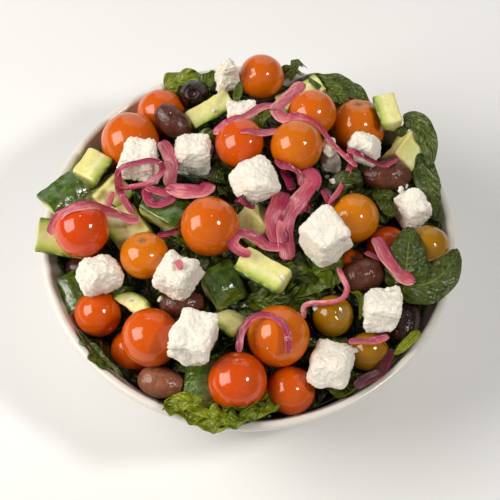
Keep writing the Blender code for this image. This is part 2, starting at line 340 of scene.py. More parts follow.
core = bmesh.new()
core_reach = inner_radius(CORE_EDGE_DEPTH) - WALL_GAP
ops.create_circle(core, cap_ends=False, segments=CORE_SEGMENTS, radius=core_reach)
outer_ring = list(core.edges)
ring = outer_ring
for step in range(CORE_RINGS - 1, 0, -1):
    verts, ring = grow_ring(core, ring)
    shrink = step / (step + 1)
    ops.scale(core, vec=(shrink, shrink, 1), verts=verts)
ops.contextual_create(core, geom=ring)
ops.poke(core, faces=[max(core.faces, key=lambda face: len(face.verts))])
for vert in core.verts:
    east, north = vert.co.x, vert.co.y
    crumple = 1.1 * abs(wobble(east * 0.11, north * 0.11, 2.0))
    crumple += 0.6 * abs(wobble(east * 0.33, north * 0.33, 7.0))
    height = heap_height(east, north) - CORE_SINK + crumple
    room = inner_radius(BOWL_HEIGHT - height) - WALL_GAP
    inward = min(1.0, room / max(hypot(east, north), 1.0))
    vert.co = Vector((east * inward, north * inward, height)) * MM
skirt = outer_ring
for depth in (24.0, 34.0, 44.0, 51.0, 56.0, FLOOR_DEPTH - 0.6):
    verts, skirt = grow_ring(core, skirt)
    for vert in verts:
        out = Vector((vert.co.x, vert.co.y, 0.0)).normalized() * (inner_radius(depth) - WALL_GAP)
        vert.co = Vector((out.x, out.y, BOWL_HEIGHT - depth)) * MM
ops.contextual_create(core, geom=skirt)
ops.recalc_face_normals(core, faces=core.faces)

greens_in_painted_shade = Finish("packed_greens", Coat_Weight=0.2, Coat_Roughness=0.2)
mottle = greens_in_painted_shade.grain(6.0, 4.0)
# Near-black colour: painted shade that stands in for the deep gaps between the chunks.
greens_in_painted_shade.paint("Base Color", greens_in_painted_shade.ramp(
    mottle,
    (0.3, (0.006, 0.008, 0.002)),
    (0.55, (0.018, 0.03, 0.004)),
    (0.75, (0.045, 0.065, 0.008)),
))
greens_in_painted_shade.paint("Roughness", 0.35 + 0.3 * mottle)
greens_in_painted_shade.relief(greens_in_painted_shade.grain(2.0, 4.0), 0.5)
add_piece("packed_greens_core", core, greens_in_painted_shade, ["salad_heap"], "salad_greens")

# Cherry tomatoes: whole ripe fruit, washed and glossy, each a slightly squat ball with a small stem scar.
# Most lie stem down; ripeness runs from greenish brown over amber and orange to red.
TOMATOES = (
    # half width, half height (mm), lean of the stem end, its compass direction (degrees), ripeness
    (11.2, 11.7, 150, 20, 0.54),
    (12.2, 12.2, 140, 200, 0.6),
    (14.3, 14.3, 155, 90, 0.56),
    (12.0, 11.8, 130, 300, 0.54),
    (13.8, 13.8, 31, 90, 0.52),
    (12.6, 12.6, 160, 60, 0.48),
    (12.4, 10.5, 145, 10, 0.66),
    (14.2, 13.7, 120, 160, 0.55),
    (13.0, 13.4, 140, 250, 0.8),
    (11.5, 10.8, 18, 100, 0.46),
    (11.9, 12.7, 130, 80, 0.36),
    (10.5, 10.5, 150, 0, 0.66),
    (10.3, 10.3, 150, 120, 0.12),
    (11.1, 11.3, 160, 310, 0.66),
    (13.7, 14.0, 150, 220, 0.64),
    (11.1, 11.3, 140, 30, 0.64),
    (13.8, 13.4, 150, 330, 0.72),
    (14.4, 14.4, 125, 60, 0.54),
    (11.6, 11.4, 150, 240, 0.64),
    (9.8, 9.4, 34, 325, 0.14),
    (9.1, 9.8, 60, 20, 0.16),
)


def turned_by(turn=0.0, pitch=0.0, roll=0.0):
    """A piece's turns in degrees: roll about X, then pitch about Y, then turn about Z."""
    turns = Matrix.Rotation(radians(turn), 4, "Z") @ Matrix.Rotation(radians(pitch), 4, "Y")
    return turns @ Matrix.Rotation(radians(roll), 4, "X")


def set_in_place(bm, node, **turns):
    """Turn a piece drawn in mm about its own middle, and set it where its fixed solid lies."""
    ops.transform(bm, matrix=turned_by(**turns) @ Matrix.Scale(MM, 4), verts=bm.verts)
    low = Vector([min(vert.co[axis] for vert in bm.verts) for axis in range(3)])
    high = Vector([max(vert.co[axis] for vert in bm.verts) for axis in range(3)])
    home = sum(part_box(node), Vector()) / 2
    ops.translate(bm, vec=home - (low + high) / 2, verts=bm.verts)


def set_deep(bm, east, north, rise, **turns):
    """Set a piece drawn in mm at a spot between the others, its rise counted from the rim."""
    middle = Matrix.Translation(Vector((east, north, BOWL_HEIGHT + rise)) * MM)
    ops.transform(bm, matrix=middle @ turned_by(**turns) @ Matrix.Scale(MM, 4), verts=bm.verts)


tomato_skin = Finish("tomato_skin", Coat_Roughness=0.03, Specular_IOR_Level=0.5)
ripeness = tomato_skin.held("fruit", 0)
from_stem = tomato_skin.held("fruit", 1)
scar = tomato_skin.held("fruit", 2)
blush = tomato_skin.grain(9.0, 2.0) - 0.5
ripe = ripeness + 0.16 * blush - 0.05 * (1.0 - from_stem)
skin_colour = tomato_skin.ramp(
    ripe,
    (0.0, (0.24, 0.12, 0.0)),
    (0.16, (0.38, 0.17, 0.0)),
    (0.36, (0.66, 0.2, 0.0)),
    (0.58, (0.66, 0.1, 0.0)),
    (0.8, (0.64, 0.05, 0.0)),
    (1.0, (0.5, 0.018, 0.0)),
)
dots = tomato_skin.step(tomato_skin.grain(0.9, 1.0), 0.64, 0.78) * 0.25
skin_colour = tomato_skin.blend(dots, skin_colour, (0.85, 0.36, 0.06))
bark = tomato_skin.step(tomato_skin.grain(0.5, 2.0), 0.35, 0.6)
cork = tomato_skin.blend(bark, (0.10, 0.05, 0.02), (0.34, 0.22, 0.10))
tomato_skin.paint("Base Color", tomato_skin.blend(scar, skin_colour, cork))
tomato_skin.paint("Roughness", 0.07 + 0.07 * tomato_skin.grain(4.0, 2.0) + 0.5 * scar)
tomato_skin.paint("Coat Weight", 0.20 * (1.0 - scar))
skin_waves = tomato_skin.grain(5.0, 3.0) + 0.30 * tomato_skin.grain(1.6, 2.0)
tomato_skin.relief(skin_waves + 0.4 * scar * bark, 0.12)

SCAR_REACH = 0.008
BLOSSOM_DOT = 0.0006


def tomato_body(half_width, half_height, ripeness_here, number):
    """A fruit in mm about its own middle, its stem scar on top."""
    fruit = bmesh.new()
    ops.create_uvsphere(fruit, u_segments=56, v_segments=32, radius=1.0)
    fruit_layer = layer_of(fruit, "fruit")
    for vert in fruit.verts:
        upness = vert.co.z
        around = atan2(vert.co.y, vert.co.x)
        near_stem = exp(-((1.0 - upness) / 0.05) ** 2)
        ribbed = 0.012 * cos(5 * around + number) * exp(-((1.0 - upness) / 0.3) ** 2)
        uneven = 1.0 + 0.018 * noise.noise(vert.co * 1.3 + Vector((number * 2.7, 0, 0))) + ribbed
        star = 1.0 + 0.35 * cos(5 * around + number)
        in_scar = 1.0 if (1.0 - upness) < SCAR_REACH * star else 0.0
        if (1.0 + upness) < BLOSSOM_DOT:
            in_scar = 0.6
        vert[fruit_layer] = (ripeness_here, (1.0 - upness) / 2, in_scar)
        vert.co.x *= half_width * uneven
        vert.co.y *= half_width * uneven
        vert.co.z = (upness * uneven - 0.07 * near_stem) * half_height
    return fruit


for number, (half_width, half_height, lean, compass, ripeness_here) in enumerate(TOMATOES, 1):
    node = f"tomato_{number:02d}"
    fruit = tomato_body(half_width, half_height, ripeness_here, number)
    set_in_place(fruit, node, turn=compass, pitch=lean)
    add_piece(f"ripe_{node}", fruit, tomato_skin, [node], "tomato_skin")

DEEP_TOMATOES = (
    # east, north, rise over the rim, radius (mm), ripeness: fruit that shows only between the others
    (50, -13, -4, 8.5, 0.66),
    (-29, -77, -12, 8.0, 0.62),
)
for number, (east, north, rise, radius, ripeness_here) in enumerate(DEEP_TOMATOES, 1):
    fruit = tomato_body(radius, radius, ripeness_here, 40 + number)
    set_deep(fruit, east, north, rise)
    add_piece(f"tomato_deep_in_the_heap_{number}", fruit, tomato_skin, (), "tomato_skin")

# Feta: lumps broken by hand off a block of white sheep's cheese, with flat cut faces and crumbly broken ones.
# The edges are ragged and worn, and the cheese is dense, matt and creamy; its colour is painted darker beige
# in its cracks and pores as painted shade.
FETA = (
    # length, width, height (mm), turn, tip forward (degrees), how the top draws in, raggedness, squareness
    (12, 12, 18, 15, 0, 0.55, 1.0, 6),
    (15, 12, 11, 3, 0, 0.1, 0.9, 7),
    (18, 17, 17, -12, 0, 0.1, 1.1, 5),
    (18, 15, 17, 2, 0, 0.16, 0.8, 7),
    (24, 21, 17, 25, 0, 0.12, 1.0, 2.7),
    (17, 14, 14, -20, 0, 0.42, 0.9, 6),
    (9, 11, 12, 10, 0, 0.3, 1.0, 4),
    (17, 17, 17, 35, 0, 0.18, 1.0, 6),
    (21, 21, 20, 38, 0, 0.1, 0.6, 8),
    (21, 19, 18, 20, 0, 0.16, 1.1, 3.2),
    (19, 21, 17, -28, 0, 0.16, 0.9, 6),
    (19, 20, 19, -18, 0, 0.06, 0.8, 7),
    (17, 20, 16, -4, -28, 0.04, 0.8, 6),
    (19, 25, 16, -8, -30, 0.06, 0.8, 4.5),
)
FETA_CUTS = 47

curd = Finish("feta_curd", Roughness=0.62, Subsurface_Weight=0.35, Subsurface_Scale=0.003)
curd.shader.inputs["Subsurface Radius"].default_value = (1.0, 0.75, 0.5)
crevice_shade = curd.held("curd", 0)
creamy = curd.blend(curd.grain(7.0, 3.0), (0.90, 0.85, 0.73), (0.95, 0.92, 0.83))
tanned = curd.blend(curd.step(curd.grain(2.2, 4.0), 0.56, 0.72) * 0.45, creamy, (0.74, 0.62, 0.45))
# Beige in the cracks and pores, by how deep each point lies: painted shade.
curd.paint("Base Color", curd.blend(crevice_shade, tanned, (0.68, 0.55, 0.38)))
curd.relief(curd.grain(1.6, 5.0, 0.65) + 0.35 * curd.grain(0.45, 3.0), 0.40)


def crumbled(where, seed, ragged):
    """How far the broken surface stands out at a spot of the lump, in mm, and how deep in a crack that is,
    the depth that sets the painted shade in the curd's colour.
    """
    shift = Vector((seed * 5.3, seed * 2.9, seed * 1.1))
    lumps = 1.3 * noise.noise(where * 0.15 + shift)
    crumbs = noise.voronoi(where * 0.38 + shift * 2)[0]
    grains = noise.voronoi(where * 0.95 + shift * 3)[0]
    split = min(1.0, (crumbs[1] - crumbs[0]) / 0.30)
    fine = min(1.0, (grains[1] - grains[0]) / 0.35)
    broken = 0.5 + 0.5 * noise.noise(where * 0.13 + shift * 4)
    depth = ragged * (0.12 + 0.88 * broken)
    out = lumps - depth * 0.36 * (1.0 - split) - depth * 0.22 * (1.0 - fine)
    out += 0.60 * ragged * noise.noise(where * 0.5 + shift) + 0.32 * ragged * noise.noise(where * 1.2 + shift)
    return out, depth * (0.26 * (1.0 - split) + 0.14 * (1.0 - fine))


for number, (length, width, height, turn, tip, drawn_in, ragged, square) in enumerate(FETA, 1):
    lump = bmesh.new()
    ops.create_cube(lump, size=2.0)
    ops.subdivide_edges(lump, edges=lump.edges, cuts=FETA_CUTS, use_grid_fill=True)
    curd_layer = layer_of(lump, "curd")
    half = Vector((length / 2, width / 2, height / 2))
    shift = Vector((number * 3.1, number * 1.7, number * 0.9))
    uneven_corners = random.Random(number)
    pulls = {
        (x, y, z): Vector([uneven_corners.uniform(-0.15, 0.15) for _ in range(3)])
        for x in (-1, 1) for y in (-1, 1) for z in (-1, 1)
    }
    for vert in lump.verts:
        corner = vert.co.copy()
        sharpness = square * (1.0 + 0.4 * noise.noise(corner * 1.1 + shift))
        size = sum(abs(value) ** sharpness for value in corner) ** (1 / sharpness)
        worn = corner / size
        for (x, y, z), pull in pulls.items():
            worn = worn + pull * ((1 + x * corner.x) * (1 + y * corner.y) * (1 + z * corner.z) / 8)
        skew = 1.0 + 0.14 * noise.noise(worn * 0.9 + shift)
        narrowed = 1.0 - drawn_in * (worn.z + 1.0) / 2
        spot = Vector((worn.x * half.x * narrowed, worn.y * half.y * narrowed, worn.z * half.z)) * skew
        near_edge = sorted(abs(value) for value in worn)[1]
        out, crevice_shade_depth = crumbled(spot, number, ragged * (0.85 + 1.2 * near_edge ** 5))
        side = Vector((worn.x ** 5, worn.y ** 5, worn.z ** 5)).normalized()
        # The depth in the cracks goes to the curd's colour as painted shade.
        vert[curd_layer] = (min(1.0, crevice_shade_depth * 0.9), 0.0, 0.0)
        vert.co = spot + side * out
    node = f"feta_{number:02d}"
    set_in_place(lump, node, turn=turn, roll=tip)
    add_piece(f"crumbled_{node}", lump, curd, [node], "feta_cheese")

# Olives: stoned Kalamata olives out of brine, pointed ovals with the punched hole of the pit at one end.
# The skin is oily and wrinkles a little; its brown purple is mottled from one fruit to the next.
OLIVES = (
    # length, width (mm), turn, nose-down pitch of the pit's end (degrees), tone from black to rosy brown
    (17, 14.5, 260, -60, 0.05),
    (22, 14, 142, -25, 0.45),
    (25, 15, 182, 0, 0.55),
    (22, 16, 200, -8, 0.5),
    (23, 15, -15, 0, 0.78),
    (22, 14, 70, 0, 0.16),
    (18, 12, 0, 0, 0.45),
    (22, 13, 5, 0, 0.5),
)

olive_skin = Finish("olive_skin", Specular_IOR_Level=0.50)
tone = olive_skin.held("olive", 0)
hole_shade = olive_skin.held("olive", 1)
mottled = tone + 0.55 * (olive_skin.grain(3.0, 4.0, 0.6) - 0.5)
olive_colour = olive_skin.ramp(
    mottled,
    (0.05, (0.008, 0.004, 0.004)),
    (0.35, (0.05, 0.013, 0.008)),
    (0.62, (0.14, 0.042, 0.02)),
    (0.9, (0.34, 0.125, 0.065)),
)
pale_flecks = olive_skin.step(olive_skin.grain(0.8, 2.0), 0.62, 0.74) * 0.35
olive_colour = olive_skin.blend(pale_flecks, olive_colour, (0.42, 0.24, 0.18))
# The pit's hollow is painted near black: painted shade in the hole.
olive_skin.paint("Base Color", olive_skin.blend(hole_shade, olive_colour, (0.035, 0.012, 0.008)))
olive_skin.paint("Roughness", 0.04 + 0.14 * olive_skin.grain(2.0, 3.0))
olive_skin.relief(olive_skin.grain(2.8, 3.0) + 0.15 * olive_skin.grain(0.6, 2.0), 0.7)

for number, (length, width, turn, pitch, tone_here) in enumerate(OLIVES, 1):
    fruit = bmesh.new()
    ops.create_uvsphere(fruit, u_segments=48, v_segments=36, radius=1.0)
    olive_layer = layer_of(fruit, "olive")
    for vert in fruit.verts:
        along = vert.co.z
        around = atan2(vert.co.y, vert.co.x)
        from_end = 1.0 - along
        hole = exp(-(from_end / 0.05) ** 2)
        pucker = 0.02 * cos(7 * around + number) * exp(-(from_end / 0.12) ** 2)
        wrinkle = 0.012 * wobble(vert.co.x * 2.2, vert.co.y * 2.2, along * 0.8 + number)
        fatness = 1.0 - 0.10 * along + pucker + wrinkle * 2
        # The second number marks the pit's hole, for the painted shade in it.
        vert[olive_layer] = (tone_here, min(1.0, hole * 1.4), 0.0)
        side = vert.co.x * fatness * width / 2
        up = vert.co.y * fatness * width / 2
        vert.co = Vector(((along - 0.30 * hole) * length / 2, side, up))
    node = f"olive_{number:02d}"
    set_in_place(fruit, node, turn=turn, pitch=pitch)
    add_piece(f"brined_{node}", fruit, olive_skin, [node], "olive_flesh")

# Cucumber: unpeeled cucumber cut lengthwise into wedges and across into chunks, so each has a strip of skin
# on its round back, a green band under it, pale wet flesh, and a softer core with flat seeds.
CUCUMBER = (
    # length, radius (mm), half of the wedge's angle, how far out its inner edge lies,
    # turn, pitch, roll (degrees)
    (16, 16, 45, 0.2, 60, 0, 140),
    (22, 13, 42, 0.8, 46, 5, 10),
    (27, 14, 46, 1.0, -5, 8, 178),
    (18, 14, 45, 0.0, 50, 0, 172),
    (20, 17, 45, 0.0, -58, 0, 155),
    (22, 19, 38, 0.0, -33, 0, -25),
    (24, 13, 27, 0.2, 34, 0, 125),
    (24, 13, 36, 0.0, 33, 0, -140),
    (17, 13, 40, 0.2, -76, 0, 135),
    (17, 16, 42, 0.0, 57, 0, 168),
    (17, 15, 45, 0.0, -50, 0, 182),
    (24, 16, 45, 0.2, -33, 0, 140),
    (17, 17, 40, 0.3, 30, 0, 22),
    (15, 12, 60, 0.6, -50, -20, 150),
    (10, 11, 75, 0.5, -120, -62, 0),
)

cucumber = Finish("cucumber_flesh_and_skin", Specular_IOR_Level=0.65, Coat_Roughness=0.04)
turn_round = cucumber.held("slice", 0)
outness = cucumber.held("slice", 1)
wander = 0.05 * (cucumber.grain(4.0, 3.0) - 0.5)
watery = cucumber.grain(3.0, 4.0)
flesh = cucumber.ramp(
    outness + wander,
    (0.0, (0.76, 0.7, 0.22)),
    (0.42, (0.86, 0.82, 0.32)),
    (0.62, (0.88, 0.87, 0.42)),
    (0.8, (0.6, 0.67, 0.14)),
    (0.91, (0.26, 0.37, 0.03)),
    (0.97, (0.06, 0.13, 0.008)),
)
flesh = cucumber.blend(cucumber.step(watery, 0.42, 0.68) * 0.50, flesh, (0.70, 0.65, 0.20))
seed_cells = {"Vector": cucumber.place(), "Scale": 240.0}
seed_spots = cucumber.node("TexVoronoi", inputs=seed_cells)
in_core = 1.0 - cucumber.step(outness, 0.35, 0.55)
seeds = (1.0 - cucumber.step(seed_spots, 0.18, 0.32)) * in_core * 0.5
flesh = cucumber.blend(seeds, flesh, (0.86, 0.82, 0.50))
stripes = cucumber.node("Math", {"operation": "SINE"}, {0: turn_round * 19.0})
stripe = cucumber.step(stripes + 1.2 * (cucumber.grain(5.0, 2.0) - 0.5), -0.4, 0.9)
streaks = 0.35 * stripe + 0.65 * cucumber.step(cucumber.grain(3.0, 4.0), 0.40, 0.62)
peel_and_sheen = cucumber.blend(streaks, (0.034, 0.078, 0.003), (0.080, 0.160, 0.006))
on_peel = cucumber.step(outness, 0.975, 0.992)
# Pale grey-green patches on the skin: a painted sheen that stands in for reflections on the wet peel.
painted_sheen = cucumber.step(cucumber.grain(5.0, 3.0), 0.52, 0.57) * 0.22
peel_and_sheen = cucumber.blend(painted_sheen, peel_and_sheen, (0.26, 0.33, 0.16))
cucumber.paint("Base Color", cucumber.blend(on_peel, flesh, peel_and_sheen))
cucumber.paint("Roughness", 0.28 + 0.20 * cucumber.grain(2.0, 2.0) - 0.26 * on_peel)
cucumber.paint("Coat Weight", 0.7 * on_peel)
ripples = on_peel * (2.4 * cucumber.grain(3.4, 2.0) + 0.3 * stripe)
cucumber.relief(1.3 * watery + 0.25 * cucumber.grain(0.9, 3.0) + 0.2 * seeds + ripples, 0.28)

SKIN_STEPS = 10
CUT_EDGE = 1.3
SLICE_GRID = 1.3


def cucumber_chunk(length, radius, half_deg, inner_share, number):
    """A wedge in mm along X about its own middle, the skin's arc on top."""
    half_angle = radians(half_deg)
    inner_edge = inner_share * radius * cos(half_angle)
    drop = (inner_edge + 2.0 * radius * sin(half_angle) / half_angle) / 3.0
    chunk = bmesh.new()
    corners = ops.create_circle(chunk, cap_ends=True, segments=SKIN_STEPS + 2, radius=radius)["verts"]
    corners[0].co = Vector((-length / 2, 0.0, inner_edge))
    for step, vert in enumerate(corners[1:]):
        angle = half_angle * (2.0 * step / SKIN_STEPS - 1.0)
        vert.co = Vector((-length / 2, radius * sin(angle), radius * cos(angle)))
    pushed = ops.extrude_face_region(chunk, geom=list(chunk.faces), use_keep_orig=True)
    moved = [item for item in pushed["geom"] if isinstance(item, BMVert)]
    ops.translate(chunk, vec=(length, 0, 0), verts=moved)
    ops.recalc_face_normals(chunk, faces=chunk.faces)
    edges = [edge for edge in chunk.edges if edge.calc_face_angle(0.0) > 0.4]
    ops.bevel(
        chunk, geom=edges, offset=CUT_EDGE, offset_type="OFFSET", affect="EDGES",
        segments=4, profile=0.5, material=-1, clamp_overlap=True,
    )
    for axis in range(3):
        reach = [vert.co[axis] for vert in chunk.verts]
        across = Vector([float(axis == index) for index in range(3)])
        cuts = max(2, round((max(reach) - min(reach)) / SLICE_GRID))
        for cut in range(1, cuts):
            spot = across * (min(reach) + (max(reach) - min(reach)) * cut / cuts)
            everything = [*chunk.verts, *chunk.edges, *chunk.faces]
            ops.bisect_plane(chunk, geom=everything, dist=0.03, plane_co=spot, plane_no=across)
    chunk.normal_update()
    slice_layer = layer_of(chunk, "slice")
    shift = Vector((number * 4.0, 0.0, 0.0))
    for vert in chunk.verts:
        outwards = hypot(vert.co.y, vert.co.z) / radius
        around = atan2(vert.co.y, vert.co.z)
        vert[slice_layer] = (around, outwards, 0.0)
        sag = 0.75 * noise.noise(vert.co * 0.14 + shift) + 0.30 * noise.noise(vert.co * 0.32 + shift)
        vert.co += vert.normal * sag
        vert.co.z -= drop
    return chunk


for number, (length, radius, half_deg, inner_share, turn, pitch, roll) in enumerate(CUCUMBER, 1):
    node = f"cucumber_{number:02d}"
    chunk = cucumber_chunk(length, radius, half_deg, inner_share, number)
    set_in_place(chunk, node, turn=turn, pitch=pitch, roll=roll)
    add_piece(f"cut_{node}", chunk, cucumber, [node], "cucumber_flesh")

DEEP_CUCUMBER = (
    # east, north, rise (mm), length, radius (mm), half angle, turn, roll: chunks that show between the others
    (2, -43, -3, 15, 12, 45, -40, 60),
    (-22, -76, -1, 24, 12, 45, 88, 0),
    (-84, -27, -7, 20, 12, 45, -65, 15),
    (13, -13, 3, 14, 11, 45, -30, 150),
    (-69, 9, -2, 18, 13, 45, 45, 165),
    (-33, 22, 0, 16, 13, 45, 10, 20),
    (38, 12, -2, 16, 12, 45, 60, 150),
)
for number, (east, north, rise, length, radius, half_deg, turn, roll) in enumerate(DEEP_CUCUMBER, 1):
    chunk = cucumber_chunk(length, radius, half_deg, 0.1, 30 + number)
    set_deep(chunk, east, north, rise, turn=turn, roll=roll)
    add_piece(f"cucumber_deep_in_the_heap_{number}", chunk, cucumber, (), "cucumber_flesh")

# Greens: baby spinach and torn lettuce, thin blades with a pale midrib, quilted between their side veins.
# Small blades fill the gaps between the chunks, and the large ones are laid over them one by one.
BLADE_THICKNESS = 0.35
CLEARANCE = 0.75
BLADE_WALL_GAP = 0.9
BLADE_COLUMNS = 13
LAYING_LAPS = 5
VEIN_RATE = 44.0
VEIN_SWEEP = 0.30

blade_green = Finish("leaf_blade", Specular_IOR_Level=0.5)
along_blade = blade_green.held("blade", 0)
across_blade = blade_green.held("blade", 1)
leaf_tone = blade_green.held("blade", 2)
from_midrib = blade_green.node("Math", {"operation": "ABSOLUTE"}, {0: across_blade})
side_vein_wave = blade_green.node(
    "Math", {"operation": "SINE"},
    {0: (along_blade - VEIN_SWEEP * from_midrib) * VEIN_RATE + 1.5 * (blade_green.grain(7.0, 2.0) - 0.5)},
)
side_vein = blade_green.step(side_vein_wave, 0.86, 1.0) * (1.0 - 0.6 * from_midrib)
midrib = 1.0 - blade_green.step(from_midrib, 0.015, 0.085)
patchy = leaf_tone + 0.35 * (blade_green.grain(8.0, 4.0) - 0.5)
leaf_colour = blade_green.ramp(
    patchy,
    (0.0, (0.01, 0.018, 0.001)),
    (0.35, (0.04, 0.062, 0.002)),
    (0.65, (0.105, 0.152, 0.003)),
    (1.0, (0.3, 0.34, 0.008)),
)
pale_lines = side_vein * 0.14 + midrib * 0.40
leaf_colour = blade_green.blend(pale_lines, leaf_colour, (0.22, 0.30, 0.04))
blade_green.paint("Base Color", leaf_colour)
blade_green.paint("Roughness", 0.14 + 0.26 * blade_green.grain(3.0, 3.0))
blister_cells = {"Vector": blade_green.place(), "Scale": 260.0}
blister = blade_green.node("TexVoronoi", {"feature": "SMOOTH_F1"}, blister_cells)
quilting = blade_green.grain(2.2, 3.0) - 3.2 * blister + 0.20 * side_vein_wave - 0.6 * midrib
blade_green.relief(quilting, 0.75)


def smooth_route(points, share):
    """A point of the smooth curve through a few points."""
    spot = share * (len(points) - 1)
    index = min(int(spot), len(points) - 2)
    ahead = spot - index
    before = points[max(index - 1, 0)]
    start = points[index]
    end = points[index + 1]
    after = points[min(index + 2, len(points) - 1)]
    straight = (end - before) * 0.5
    second = before - start * 2.5 + end * 2.0 - after * 0.5
    third = (after - before) * 0.5 + (start - end) * 1.5
    return start + straight * ahead + second * ahead ** 2 + third * ahead ** 3


def keep_inside(place):
    """Hold a spot, in mm, inside the bowl's wall."""
    if place.z < BOWL_HEIGHT + 1.0:
        room = inner_radius(max(BOWL_HEIGHT - place.z, 0.0)) - BLADE_WALL_GAP
        reach = hypot(place.x, place.y)
        if reach > room:
            place.x *= room / reach
            place.y *= room / reach
    return place


def clear_of_chunks(place):
    """Push a spot, in mm, out of the chunk it lies in or too close to."""
    near, normal, _, distance = chunks.find_nearest(place * MM, 0.03)
    if near is None:
        return place
    outside = (place * MM - near).dot(normal) / MM
    if outside < CLEARANCE and (distance / MM < CLEARANCE or outside < 0.0):
        return near / MM + normal * CLEARANCE
    return place


def lay_blade(bm, spine, half_width, tone, seed, curl, ripple, bank, rows, under=False):
    """One leaf along a few points (mm): cupped across, rippled at its edge, and laid clear of the chunks."""
    layer = layer_of(bm, "blade")
    grid = ops.create_grid(bm, x_segments=rows, y_segments=BLADE_COLUMNS, size=1.0)["verts"]
    points = [Vector(point) for point in spine]
    for vert in grid:
        along = (vert.co.x + 1.0) / 2
        across = vert.co.y
        share = min(max(along, 0.001), 0.999)
        here = smooth_route(points, share)
        ahead = smooth_route(points, min(share + 0.02, 1.0)) - smooth_route(points, max(share - 0.02, 0.0))
        ahead.normalize()
        side = Vector((-ahead.y, ahead.x, 0.0)).normalized()
        side = Matrix.Rotation(radians(bank), 3, ahead) @ side
        up = ahead.cross(side)
        edge = copysign(1.0, across)
        outline_share = sin(pi * share ** 0.75) ** 0.62
        reach = half_width * max(outline_share, 0.02)
        reach *= 1.0 + 0.10 * wobble(share * 5.0, seed * 3.3, 2.0 * edge)
        reach *= 1.0 + 0.10 * ripple * wobble(share * 13.0, seed * 1.7, 3.0 * edge)
        quilt = sin((along - VEIN_SWEEP * abs(across)) * VEIN_RATE)
        lift = curl * reach * across ** 2
        lift += ripple * across ** 2 * sin(share * 17.0 + seed * 2.0 + 1.3 * edge)
        lift += 0.28 * quilt * (1.0 - abs(across)) + 0.5 * min(abs(across) * 6.0, 1.0)
        lift += 0.8 * wobble(share * 3.0, across * 1.2, seed * 1.9)
        lift += 0.7 * ripple * wobble(here.x * 0.22, here.y * 0.22, across * 1.6 + seed)
        vert[layer] = (along, across, tone)
        vert.co = here + side * across * reach + up * lift
    for lap in range(LAYING_LAPS):
        for vert in grid:
            place = vert.co.copy()
            bottom = heap_height(place.x, place.y) + 0.3
            place.z = max(place.z, bottom)
            moved = clear_of_chunks(place)
            if under and moved != place:
                moved = Vector((place.x, place.y, bottom))
            vert.co = keep_inside(moved)
        if lap < LAYING_LAPS - 1:
            axes = {"use_axis_x": True, "use_axis_y": True, "use_axis_z": True}
            ops.smooth_vert(bm, verts=grid, factor=0.35, **axes)
    for vert in grid:
        vert.co *= MM


def add_blades(name, bm):
    """A piece of leaf blades, given their thickness."""
    piece = add_piece(name, bm, blade_green, (), "salad_greens")
    wall = piece.modifiers.new("blade thickness", "SOLIDIFY")
    wall.thickness = BLADE_THICKNESS * MM
    wall.offset = 0.0


BEDDING_COUNT = 130
BEDDING_REACH = 90.0
chance = random.Random(61)
bedding = bmesh.new()
for number in range(BEDDING_COUNT):
    reach = BEDDING_REACH * sqrt((number + 0.5) / BEDDING_COUNT)
    compass = number * pi * (3 - sqrt(5))
    east = reach * cos(compass)
    north = reach * sin(compass)
    heading = chance.uniform(0, tau)
    length = chance.uniform(18, 34)
    lean = chance.uniform(-5, 9)
    lift = chance.uniform(0.5, 4.0)
    ahead = Vector((cos(heading), sin(heading), 0)) * length / 2
    middle = Vector((east, north, heap_height(east, north) + lift))
    ends = Vector((0, 0, lean))
    spine = [middle - ahead - ends, middle + Vector((0, 0, 1.5)), middle + ahead + ends]
    lay_blade(
        bedding, spine, chance.uniform(7.5, 12.5), chance.uniform(0.0, 0.52), number,
        curl=chance.uniform(-0.2, 0.5), ripple=chance.uniform(0.5, 1.6), bank=chance.uniform(-35, 35),
        rows=18, under=True,
    )
add_blades("bedding_greens", bedding)

